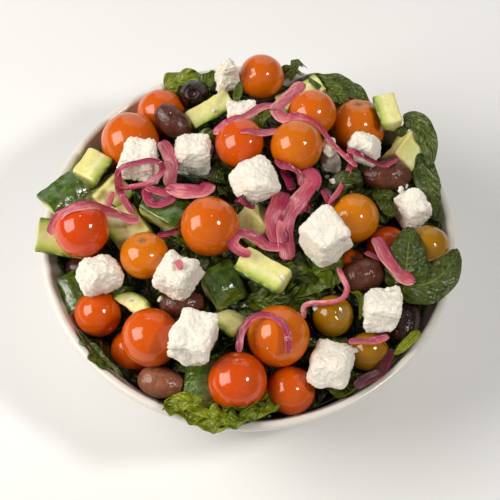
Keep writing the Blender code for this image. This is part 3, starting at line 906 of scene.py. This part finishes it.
LEAVES = (
    # spine (east, north, height over the rim, mm), half width, tone, curl, ripple, bank
    (((73, -33, 5), (74, -26, 12), (75, -16, 16), (77, -3, 16)), 11.5, 0.36, -0.2, 1.0, 0),
    (((70, -29, 4), (79, -31, 9), (88, -28, 10), (95, -20, 9), (98, -10, 7)), 10.5, 0.4, -0.12, 1.3, 8),
    (((75, 58, 14), (81, 57, 15), (86, 50, 14), (88, 43, 12), (88, 33, 10)), 6.0, 0.42, 0.1, 0.8, 10),
    (((84, 42, 9), (86, 30, 8), (88, 19, 7), (91, 8, 5)), 6.5, 0.4, 0.2, 1.0, 8),
    (((73, 51, 11), (76, 55, 13), (79, 61, 12)), 3.0, 0.3, 0.3, 0.5, 0),
    (((34, 89, 2), (43, 85, 4), (52, 80, 5), (60, 73, 5)), 6.5, 0.44, 0.3, 0.9, -10),
    (((29, 92, 2), (37, 83, 6), (44, 76, 8), (50, 70, 8)), 5.5, 0.5, 0.2, 0.9, 10),
    (((13, -83, -3), (5, -90, 2), (-4, -97, 4)), 6.0, 0.78, 0.3, 2.6, -12),
    (((3, -92, 1), (-6, -98, 4), (-15, -99, 3)), 5.5, 0.7, 0.4, 2.6, 14),
    (((-7, -95, 1), (-18, -97, 4), (-28, -93, 2)), 6.5, 0.84, 0.3, 3.0, -8),
    (((-19, -95, 1), (-30, -93, 3), (-39, -88, 1)), 6.0, 0.72, 0.3, 2.8, 15),
    (((8, -86, 1), (-2, -90, 5), (-12, -92, 5)), 5.0, 0.58, 0.5, 2.4, 20),
    (((-22, -89, 2), (-31, -88, 4), (-39, -90, 0)), 4.5, 0.88, 0.4, 2.6, -20),
    (((44, -20, 8), (36, -24, 13), (28, -30, 14), (20, -36, 9)), 10.0, 0.56, -0.15, 1.6, 0),
    (((25, -19, 10), (21, -27, 14), (16, -35, 11)), 5.5, 0.48, 0.3, 1.2, 0),
    (((-43, 83, -2), (-37, 87, 2), (-29, 89, 4), (-18, 91, 3)), 5.5, 0.78, 0.3, 2.6, 0),
    (((-27, 80, 4), (-21, 84, 8), (-16, 90, 8)), 4.5, 0.6, 0.3, 1.0, 0),
    (((0, -38, 6), (8, -40, 10), (16, -39, 9), (24, -40, 5)), 5.0, 0.46, 0.5, 1.0, 10),
    (((63, 21, 9), (66, 13, 12), (69, 5, 11)), 5.5, 0.44, 0.2, 1.0, 0),
    (((58, 22, 7), (62, 13, 10), (66, 3, 9)), 5.0, 0.36, 0.3, 1.0, 10),
    (((-84, -48, -4), (-76, -59, -2), (-67, -68, -1), (-57, -77, -2)), 4.5, 0.4, 0.5, 1.0, -10),
    (((45, -85, -4), (54, -80, -3), (64, -73, -3), (72, -63, -4)), 4.5, 0.66, 0.4, 1.4, 10),
    (((48, -31, 5), (52, -36, 9), (53, -41, 9), (52, -47, 6)), 1.6, 0.8, 0.2, 0.4, 0),
    (((80, -52, 4), (74, -58, 3), (68, -63, 1)), 2.6, 0.95, 0.3, 0.6, 0),
    (((3, 48, 20), (7, 52, 25), (13, 57, 24)), 2.6, 0.62, 0.4, 0.4, 0),
    (((-6, 61, 23), (-5, 68, 25), (-4, 75, 21)), 2.2, 0.58, 0.4, 0.4, 0),
    (((24, 102, 1), (23, 95, 4), (21, 88, 3)), 2.4, 0.62, 0.5, 0.5, 0),
    (((16, 93, 2), (20, 94, 4), (25, 93, 3)), 2.6, 0.56, 0.4, 0.5, 0),
    (((-21, 8, 12), (-17, 16, 18), (-13, 27, 18)), 4.5, 0.34, 0.3, 0.8, 0),
    (((40, 16, 15), (46, 21, 19), (54, 23, 16)), 5.0, 0.34, 0.3, 0.8, 0),
    (((-34, -6, 9), (-29, -11, 13), (-24, -15, 12)), 2.6, 0.62, 0.3, 0.5, 0),
)
laid = bmesh.new()
for number, (spine, half_width, tone_here, curl, ripple, bank) in enumerate(LEAVES):
    raised = [Vector((east, north, BOWL_HEIGHT + rise)) for east, north, rise in spine]
    lay_blade(laid, raised, half_width, tone_here, 300 + number, curl, ripple, bank, rows=40)
laid_leaves = BVHTree.FromBMesh(laid)
add_blades("laid_spinach_leaves", laid)

# Onion: red onion sliced into thin half rings and pickled, which leaves limp pink strips with magenta edges.
# Each strip lies over the chunks that it crosses, sags between them, and curls back at an end.
ONION = (
    # route (east, north, height over the rim, mm), half width, tone from pale pink to dark magenta
    (((-94, -8, 18), (-90, -5, 25), (-80, -2, 31), (-70, 2, 23), (-62, 3, 17), (-56, 1, 16),
      (-52, 1, 16)), 2.7, 0.3),
    (((-65, 16, 17), (-67, 8, 16)), 1.7, 0.3),
    (((-62, 21, 30), (-62, 18, 22), (-61, 15, 16), (-58, 10, 15), (-55, 5, 15)), 2.0, 0.45),
    (((-63, 19, 26), (-60, 21, 31), (-53, 22, 33), (-47, 23, 34), (-42, 22, 33), (-41, 20, 29),
      (-46, 17, 24), (-53, 16, 22), (-60, 16, 20), (-63, 18, 20)), 1.6, 0.6),
    (((-49, 15, 22), (-47, 7, 22), (-42, 6, 22), (-35, 10, 22)), 2.4, 0.72),
    (((-49, 15, 23), (-44, 13, 23), (-38, 12, 22), (-30, 12, 22)), 2.0, 0.5),
    (((-42, 39, 25), (-39, 33, 27), (-37, 28, 25), (-37, 23, 22), (-38, 17, 20)), 3.6, 0.3),
    (((-39, 16, 22), (-33, 13, 23), (-28, 12, 24), (-22, 13, 23), (-17, 18, 21)), 4.0, 0.35),
    (((-17, 44, 25), (-10, 46, 27), (-2, 50, 29), (7, 58, 26), (14, 60, 23)), 2.6, 0.35),
    (((-4, 39, 33), (5, 40, 31), (14, 43, 28)), 1.8, 0.4),
    (((27, 79, 15), (21, 70, 19), (15, 61, 23), (13, 56, 25), (17, 51, 27), (21, 50, 28),
      (26, 51, 28)), 3.2, 0.3),
    (((20, 54, 27), (25, 51, 28), (30, 49, 28), (35, 45, 26), (40, 38, 25), (43, 34, 25), (47, 29, 27),
      (52, 26, 23)), 1.4, 0.4),
    (((47, 33, 28), (52, 30, 29), (58, 28, 26), (65, 28, 21), (72, 35, 17)), 1.6, 0.72),
    (((48, 33, 28), (49, 28, 24), (48, 26, 19), (45, 19, 19), (42, 12, 21), (38, 6, 23)), 1.5, 0.45),
    (((13, 29, 25), (16, 24, 28), (20, 23, 28), (24, 21, 25), (25, 16, 22)), 1.8, 0.55),
    (((26, 25, 22), (31, 18, 24), (28, 13, 24), (23, 6, 23), (19, 0, 21), (17, -7, 19), (18, -15, 17),
      (18, -20, 15)), 4.2, 0.42),
    (((17, 12, 23), (14, 5, 23), (12, -1, 21), (13, -7, 19), (16, -13, 18)), 5.0, 0.55),
    (((1, -25, 29), (-4, -23, 29), (-7, -19, 28), (-6, -14, 27), (-2, -12, 26), (4, -13, 23),
      (9, -15, 19), (17, -15, 18)), 2.8, 0.45),
    (((60, -8, 15), (62, -13, 16), (64, -18, 16), (68, -24, 15), (72, -28, 13), (78, -30, 12)), 3.4, 0.32),
    (((55, -15, 13), (58, -17, 14), (63, -20, 14)), 1.5, 0.5),
    (((66, -14, 15), (70, -17, 14), (71, -22, 13), (74, -25, 12)), 3.2, 0.6),
    (((42, -24, 15), (44, -29, 15), (46, -35, 15), (44, -41, 16), (39, -44, 18), (34, -44, 17),
      (30, -43, 15), (26, -44, 13), (26, -49, 11)), 1.4, 0.3),
    (((-4, -72, 23), (-4, -68, 23), (-3, -63, 25), (0, -58, 26), (4, -55, 26), (9, -55, 26),
      (14, -58, 27), (17, -63, 28), (18, -68, 27), (18, -73, 23)), 1.8, 0.66),
    (((46, -64, 17), (50, -63, 16), (56, -62, 13), (61, -60, 12), (65, -58, 11)), 1.9, 0.45),
    (((49, -81, 5), (54, -77, 4), (61, -73, 3), (64, -67, 2), (68, -60, 1)), 2.6, 1.15),
    (((-43, -9, 19), (-38, -8, 19), (-33, -6, 19)), 1.5, 0.8),
    (((-6, 6, 26), (-2, 3, 26), (3, 3, 25)), 2.4, 0.9),
    (((35, 15, 21), (38, 11, 21), (39, 6, 20)), 2.6, 0.8),
    (((16, 26, 21), (19, 20, 21), (21, 15, 20)), 2.6, 0.75),
    (((25, 17, 17), (27, 11, 17), (28, 6, 15)), 2.8, 0.85),
    (((-33, -31, 35), (-32, -33, 35), (-31, -36, 35)), 2.0, 0.3),
)
STRIP_SIDES = 24
STRIP_THICKNESS = 0.60
STRIP_SHRINK = 0.95
STRIP_STEP = 1.1
STRIP_GAP = 0.4
SAG_LAPS = 6

onion_flesh = Finish("pickled_onion", Specular_IOR_Level=0.75, Subsurface_Weight=0.15, Subsurface_Scale=0.001)
strand = onion_flesh.node("Attribute", {"attribute_name": "strand"}, output="Vector")
strip_tone = onion_flesh.held("tone", 0)
towards_edge = onion_flesh.held("tone", 1)
drawn_out = {0: strand, 1: (0.12, 1.0, 1.0)}
stretched = onion_flesh.node("VectorMath", {"operation": "MULTIPLY"}, drawn_out)
fibres = onion_flesh.grain(0.55, 3.0, where=stretched)
stain = 0.02 + strip_tone + 1.10 * (fibres - 0.5) + 0.30 * towards_edge
onion_flesh.paint("Base Color", onion_flesh.ramp(
    stain,
    (0.0, (0.84, 0.36, 0.36)),
    (0.26, (0.62, 0.13, 0.16)),
    (0.52, (0.44, 0.045, 0.095)),
    (0.82, (0.34, 0.004, 0.07)),
    (1.0, (0.085, 0.005, 0.014)),
))
onion_flesh.paint("Roughness", 0.14 + 0.14 * fibres)
onion_flesh.relief(fibres, 0.40)


def surface_height(east, north):
    """Height in mm of the highest thing at a spot, chunk or greens."""
    return top_of(chunks, east, north, heap_height(east, north) + 3.0)


def lay_strip(bm, route, half_width, tone_here, seed):
    """One strip along its route: a flat ring of points swept along the route and closed at both ends."""
    strand_layer = layer_of(bm, "strand")
    tone_layer = layer_of(bm, "tone")
    points = [Vector((east, north, BOWL_HEIGHT + rise)) for east, north, rise in route]
    half_thickness = STRIP_THICKNESS / 2
    length = sum((after - before).length for before, after in zip(points, points[1:]))
    count = max(8, round(length / STRIP_STEP))
    spots = [smooth_route(points, index / count * 0.999) for index in range(count + 1)]
    lowest = [surface_height(spot.x, spot.y) + half_thickness + STRIP_GAP for spot in spots]
    heights = [max(low, spot.z) for low, spot in zip(lowest, spots)]
    for _ in range(SAG_LAPS):
        padded = [heights[0], *heights, heights[-1]]
        threes = zip(padded, heights, padded[2:])
        smoothed = [(before + here * 2 + after) / 4 for before, here, after in threes]
        heights = [max(low, value) for low, value in zip(lowest, smoothed)]
    for spot, height in zip(spots, heights):
        spot.z = height
    ring = None
    travelled = 0.0
    for index, spot in enumerate(spots):
        ahead = (spots[min(index + 1, count)] - spots[max(index - 1, 0)]).normalized()
        side = Vector((-ahead.y, ahead.x, 0.0)).normalized()
        lean = 0.6 * wobble(travelled * 0.09, seed * 2.3, 0.0)
        side = Matrix.Rotation(lean, 3, ahead) @ side
        up = ahead.cross(side)
        fullness = min(1.0, 0.50 + min(index, count - index) * 0.20)
        fullness *= 1.0 + 0.18 * wobble(index * 0.16, seed * 3.1, 4.0)
        travelled += (spot - spots[max(index - 1, 0)]).length
        axes = (side * half_width * fullness, up * half_thickness * fullness, ahead)
        placed = Matrix.Translation(spot) @ Matrix(axes).transposed().to_4x4()
        if ring is None:
            verts = ops.create_circle(bm, cap_ends=False, segments=STRIP_SIDES, radius=1.0)["verts"]
            ring = list({edge for vert in verts for edge in vert.link_edges})
            first = ring
            for vert in verts:
                groove = 0.35 * cos(vert.co.x * 8.0 + seed)
                vert.co.y += 2.2 * vert.co.x ** 2 - 0.7 + groove
            change = placed
        else:
            verts, ring = grow_ring(bm, ring)
            change = placed @ last.inverted()
        ops.transform(bm, matrix=change, verts=verts)
        unplace = placed.inverted()
        for vert in verts:
            local = unplace @ vert.co
            inwards = (local.y * half_thickness + seed * 9.0) * MM
            vert[strand_layer] = (travelled * MM, local.x * half_width * MM, inwards)
            vert[tone_layer] = (tone_here, local.x, 0.0)
        last = placed
    ops.contextual_create(bm, geom=first)
    ops.contextual_create(bm, geom=ring)


strips = bmesh.new()
for number, (route, half_width, tone_here) in enumerate(ONION):
    lay_strip(strips, route, half_width * STRIP_SHRINK, tone_here, number)
ops.recalc_face_normals(strips, faces=strips.faces)
ops.scale(strips, vec=(MM, MM, MM), verts=strips.verts)
add_piece("pickled_onion_strips", strips, onion_flesh, (), "salad_greens")

# Loose bits: crumbs that broke off the cheese in the tossing, from lentil size down to specks.
# The larger ones lie on whatever is foremost there, and the specks on top of the chunks, pressed in a little.
CRUMBS = (
    # east, north, height over the rim, size (mm): each slides away from the viewer till it meets something
    (39, 34, 26, 7.5), (79, 26, 14, 4.2), (73, 17, 16, 3.4), (49, -59, 14, 3.6), (50, -65, 10, 2.8),
    (32, -47, 18, 3.6), (30, -50, 17, 2.0), (40, 21, 18, 2.6), (-62, -14, 14, 1.9), (-52, -29, 12, 1.9),
      (47, 27, 20, 2.6),
    (-21, 35, 24, 2.2), (-41, -43, 18, 2.4), (65, -39, 20, 2.2), (23, -40, 12, 1.6), (16, -33, 22, 1.8),
    (-55, -40, 12, 1.2), (76, 21, 15, 2.2), (-17, 60, 20, 2.0), (38, 24, 18, 1.8), (-6, 4, 22, 1.4),
)
CRUMB_START = 0.06
crumbs = bmesh.new()
crumb_layer = layer_of(crumbs, "curd")
for number, (east, north, rise, size) in enumerate(CRUMBS):
    made = ops.create_icosphere(crumbs, subdivisions=4, radius=1.0)["verts"]
    start = Vector((east, north, BOWL_HEIGHT + rise)) * MM + towards_viewer * CRUMB_START
    met = [tree.ray_cast(start, -towards_viewer) for tree in (chunks, greens_top, laid_leaves)]
    hit, facing = min((found for found in met if found[0]), key=lambda found: found[3])[:2]
    middle = hit / MM + facing * size * 0.30
    stretch = Vector((1.0 + 0.3 * sin(number * 2.1), 1.0 + 0.3 * cos(number * 3.7), 0.75))
    for vert in made:
        where = vert.co * size
        out, crevice_shade_depth = crumbled(where * 1.6, 60 + number, 1.0)
        swell = 0.35 * noise.noise(vert.co * 1.2 + Vector((number * 5.0, 0, 0)))
        reach = size / 2 * (1.0 + swell) + out * 0.45
        # Half of that depth goes to the crumb's colour as painted shade.
        vert[crumb_layer] = (min(1.0, crevice_shade_depth * 0.5), 0.0, 0.0)
        vert.co = (middle + Vector([value * pull for value, pull in zip(vert.co, stretch)]) * reach) * MM
add_piece("loose_feta_crumbs", crumbs, curd, (), "feta_cheese")

FINE_CRUMBS = 110
FINE_REACH = 88.0
fine = bmesh.new()
fine_layer = layer_of(fine, "curd")
for number in range(FINE_CRUMBS):
    reach = FINE_REACH * sqrt(chance.random())
    compass = chance.uniform(0, tau)
    east = reach * cos(compass)
    north = reach * sin(compass)
    size = chance.uniform(0.25, 0.75)
    hit, normal = chunks.ray_cast(Vector((east * MM, north * MM, SKY)), Vector((0, 0, -1)))[:2]
    if hit is None or normal.z < 0.35:
        continue
    made = ops.create_icosphere(fine, subdivisions=3, radius=size / 2)["verts"]
    for vert in made:
        vert[fine_layer] = (0.1, 0.0, 0.0)
        vert.co *= 1.0 + 0.5 * noise.noise(vert.co * 4.0 + Vector((number * 3.0, 0, 0)))
        vert.co = hit + normal * size * 0.35 * MM + vert.co * MM
add_piece("fine_feta_crumbs", fine, curd, (), "feta_cheese")
